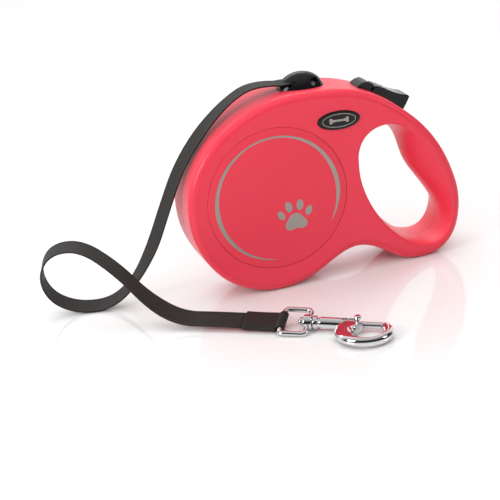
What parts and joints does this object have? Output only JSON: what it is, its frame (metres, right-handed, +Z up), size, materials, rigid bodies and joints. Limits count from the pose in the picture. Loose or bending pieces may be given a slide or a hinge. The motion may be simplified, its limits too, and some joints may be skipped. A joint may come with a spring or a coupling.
{
  "type": "retractable leash",
  "caption": "Retractable tape leash: round drum casing with a hand grip, brake button, tape mouth, and a flat leash ending in a swivel snap hook.",
  "frame": {"origin": "middle of the casing's footprint on the surface it stands on, leash left out", "axes": "+X from the drum to the hand grip along the casing's length, +Y through the casing's thickness towards its rear cover, +Z up"},
  "size_m": [0.3127, 0.1831, 0.1537],
  "materials": {
    "case_red": "coral red moulded ABS, satin",
    "disc_red": "coral red moulded ABS, slightly darker, satin",
    "black_gloss": "glossy black ABS",
    "tape_black": "woven black nylon tape",
    "sleeve_black": "moulded black sleeve",
    "chrome": "polished chrome plate on zinc",
    "steel": "drawn steel",
    "inner_plastic": "dark grey acetal",
    "spring_steel": "blued spring steel"
  },
  "bodies": {
    "casing": {"housing_front": "case_red", "housing_rear": "case_red", "side_disc_front": "disc_red", "side_disc_rear": "disc_red", "badge_front": "black_gloss", "badge_rear": "black_gloss", "housing_screws": "steel", "axle": "steel", "thrust_washer": "inner_plastic", "recoil_spring": "spring_steel", "tape_guide": "black_gloss", "guide_pin": "steel", "guide_sleeve": "steel", "tape_inner_run": "tape_black", "brake_spring": "spring_steel", "leash_tape": "tape_black", "end_sleeve": "sleeve_black", "tape_end_loop": "tape_black"},
    "spool": {"spool": "inner_plastic", "spool_flange": "inner_plastic", "tape_pack": "tape_black", "spring_cup": "inner_plastic"},
    "brake": {"brake_button": "black_gloss", "brake_carriage": "inner_plastic"},
    "latch": {"lock_latch": "black_gloss"},
    "eye": {"swivel_eye": "chrome"},
    "hook": {"hook_body": "chrome", "bolt_spring": "spring_steel"},
    "bolt": {"hook_bolt": "chrome"}
  },
  "joints": [
    {"name": "spool_spin", "type": "hinge", "parent": "casing", "child": "spool", "pos_m": [-0.0375, 0, 0.07055], "axis": [0, 1, 0], "continuous": true},
    {"name": "brake_press", "type": "slide", "parent": "casing", "child": "brake", "axis": [-0.5934, 0, -0.8049], "range_m": [0, 0.0035], "stiffness_N_per_m": 900, "springref_m": -0.001, "deforming": ["brake_spring"]},
    {"name": "latch_slide", "type": "slide", "parent": "casing", "child": "latch", "axis": [-0.8049, 0, 0.5934], "range_m": [0, 0.003]},
    {"name": "eye_swing", "type": "hinge", "parent": "casing", "child": "eye", "pos_m": [-0.06453, -0.08914, 0.00642], "axis": [-0.5483, -0.7632, -0.3418], "range_deg": [-80, 80]},
    {"name": "hook_swivel", "type": "hinge", "parent": "eye", "child": "hook", "pos_m": [-0.04922, -0.09986, 0.0058], "axis": [0.8187, -0.5733, -0.0332], "continuous": true},
    {"name": "bolt_slide", "type": "slide", "parent": "hook", "child": "bolt", "axis": [-0.8187, 0.5733, 0.0332], "range_m": [0, 0.0085], "stiffness_N_per_m": 250, "springref_m": -0.003, "deforming": ["bolt_spring"]}
  ]
}
